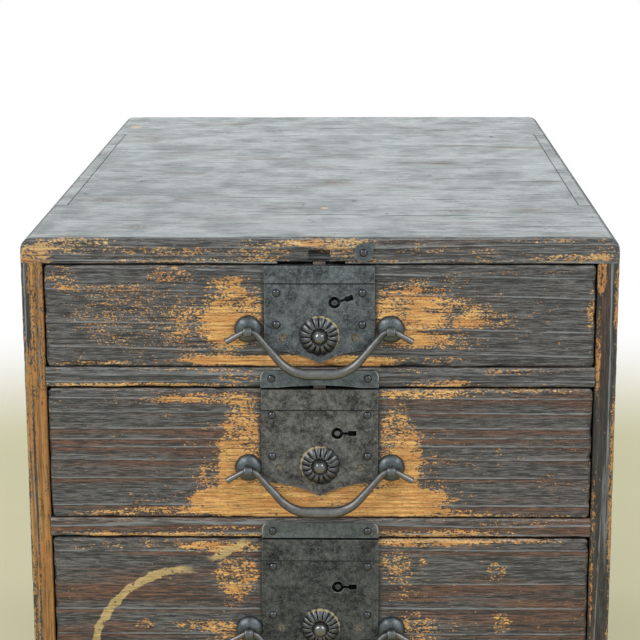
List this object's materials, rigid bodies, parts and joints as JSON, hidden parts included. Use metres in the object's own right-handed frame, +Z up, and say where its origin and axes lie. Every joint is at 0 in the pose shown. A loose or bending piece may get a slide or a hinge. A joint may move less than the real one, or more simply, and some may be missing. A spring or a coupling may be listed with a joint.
{
  "type": "small tansu chest",
  "caption": "Small iron-bound wooden tansu chest with locking drawers that slide out, each pulled by a swinging forged bail under a round button.",
  "frame": {"origin": "centre of the case's underside, on the surface that it stands on", "axes": "+Z up, the drawers' fronts face -Y, +X to the right seen from the front"},
  "size_m": [0.3, 0.4794, 0.36],
  "materials": {
    "case_wood": "dark stain worn to bare orange wood along the edges",
    "drawer_wood": "dark stain worn to bare orange wood round the irons",
    "inner_wood": "bare, aged",
    "peg_wood": "bare, aged",
    "plate_iron": "blackened, worn, specks of rust",
    "rosette_iron": "blackened, worn bright on the petals",
    "handle_iron": "forged, rubbed grey",
    "nail_iron": "rubbed bright on the heads"
  },
  "bodies": {
    "case": {"top_board": "case_wood", "bottom_board": "case_wood", "left_side_board": "case_wood", "right_side_board": "case_wood", "back_board": "inner_wood", "case_pegs": "peg_wood", "divider_1": "case_wood", "divider_2": "case_wood", "divider_3": "case_wood", "keeper_plates": "plate_iron", "keeper_remnant": "plate_iron", "keeper_nails": "nail_iron"},
    "drawer_1": {"drawer_1_front": "drawer_wood", "drawer_1_sides": "inner_wood", "drawer_1_back": "inner_wood", "drawer_1_bottom": "inner_wood", "drawer_1_lock_plate": "plate_iron", "drawer_1_lock_case": "plate_iron", "drawer_1_plate_nails": "nail_iron", "drawer_1_rosette": "rosette_iron", "drawer_1_handle_mounts": "handle_iron"},
    "bolt_1": {"drawer_1_lock_bolt": "nail_iron"},
    "button_1": {"drawer_1_button": "rosette_iron"},
    "bail_1": {"drawer_1_handle": "handle_iron"},
    "drawer_2": {"drawer_2_front": "drawer_wood", "drawer_2_sides": "inner_wood", "drawer_2_back": "inner_wood", "drawer_2_bottom": "inner_wood", "drawer_2_lock_plate": "plate_iron", "drawer_2_lock_case": "plate_iron", "drawer_2_plate_nails": "nail_iron", "drawer_2_rosette": "rosette_iron", "drawer_2_handle_mounts": "handle_iron"},
    "bolt_2": {"drawer_2_lock_bolt": "nail_iron"},
    "button_2": {"drawer_2_button": "rosette_iron"},
    "bail_2": {"drawer_2_handle": "handle_iron"},
    "drawer_3": {"drawer_3_front": "drawer_wood", "drawer_3_sides": "inner_wood", "drawer_3_back": "inner_wood", "drawer_3_bottom": "inner_wood", "drawer_3_lock_plate": "plate_iron", "drawer_3_lock_case": "plate_iron", "drawer_3_plate_nails": "nail_iron", "drawer_3_rosette": "rosette_iron", "drawer_3_handle_mounts": "handle_iron"},
    "bolt_3": {"drawer_3_lock_bolt": "nail_iron"},
    "button_3": {"drawer_3_button": "rosette_iron"},
    "bail_3": {"drawer_3_handle": "handle_iron"},
    "drawer_4": {"drawer_4_front": "drawer_wood", "drawer_4_sides": "inner_wood", "drawer_4_back": "inner_wood", "drawer_4_bottom": "inner_wood", "drawer_4_lock_plate": "plate_iron", "drawer_4_lock_case": "plate_iron", "drawer_4_plate_nails": "nail_iron", "drawer_4_rosette": "rosette_iron", "drawer_4_handle_mounts": "handle_iron"},
    "bolt_4": {"drawer_4_lock_bolt": "nail_iron"},
    "button_4": {"drawer_4_button": "rosette_iron"},
    "bail_4": {"drawer_4_handle": "handle_iron"}
  },
  "joints": [
    {"name": "drawer_1_slide", "type": "slide", "parent": "case", "child": "drawer_1", "axis": [0, -1, 0], "range_m": [0, 0.36]},
    {"name": "bail_1_swing", "type": "hinge", "parent": "drawer_1", "child": "bail_1", "pos_m": [0, -0.2415, 0.3132], "axis": [-1, 0, 0], "range_deg": [-5, 170]},
    {"name": "bolt_1_lift", "type": "slide", "parent": "drawer_1", "child": "bolt_1", "axis": [0, 0, 1], "range_m": [0, 0.0035]},
    {"name": "button_1_press", "type": "slide", "parent": "drawer_1", "child": "button_1", "axis": [0, 1, 0], "range_m": [0, 0.002], "stiffness_N_per_m": 500},
    {"name": "drawer_2_slide", "type": "slide", "parent": "case", "child": "drawer_2", "axis": [0, -1, 0], "range_m": [0, 0.36]},
    {"name": "bail_2_swing", "type": "hinge", "parent": "drawer_2", "child": "bail_2", "pos_m": [0, -0.2415, 0.2404], "axis": [-1, 0, 0], "range_deg": [-5, 170]},
    {"name": "bolt_2_lift", "type": "slide", "parent": "drawer_2", "child": "bolt_2", "axis": [0, 0, 1], "range_m": [0, 0.0035]},
    {"name": "button_2_press", "type": "slide", "parent": "drawer_2", "child": "button_2", "axis": [0, 1, 0], "range_m": [0, 0.002], "stiffness_N_per_m": 500},
    {"name": "drawer_3_slide", "type": "slide", "parent": "case", "child": "drawer_3", "axis": [0, -1, 0], "range_m": [0, 0.36]},
    {"name": "bail_3_swing", "type": "hinge", "parent": "drawer_3", "child": "bail_3", "pos_m": [0, -0.2415, 0.1524], "axis": [-1, 0, 0], "range_deg": [-5, 170]},
    {"name": "bolt_3_lift", "type": "slide", "parent": "drawer_3", "child": "bolt_3", "axis": [0, 0, 1], "range_m": [0, 0.0044]},
    {"name": "button_3_press", "type": "slide", "parent": "drawer_3", "child": "button_3", "axis": [0, 1, 0], "range_m": [0, 0.002], "stiffness_N_per_m": 500},
    {"name": "drawer_4_slide", "type": "slide", "parent": "case", "child": "drawer_4", "axis": [0, -1, 0], "range_m": [0, 0.36]},
    {"name": "bail_4_swing", "type": "hinge", "parent": "drawer_4", "child": "bail_4", "pos_m": [0, -0.2415, 0.0511], "axis": [-1, 0, 0], "range_deg": [-5, 170]},
    {"name": "bolt_4_lift", "type": "slide", "parent": "drawer_4", "child": "bolt_4", "axis": [0, 0, 1], "range_m": [0, 0.0044]},
    {"name": "button_4_press", "type": "slide", "parent": "drawer_4", "child": "button_4", "axis": [0, 1, 0], "range_m": [0, 0.002], "stiffness_N_per_m": 500}
  ]
}
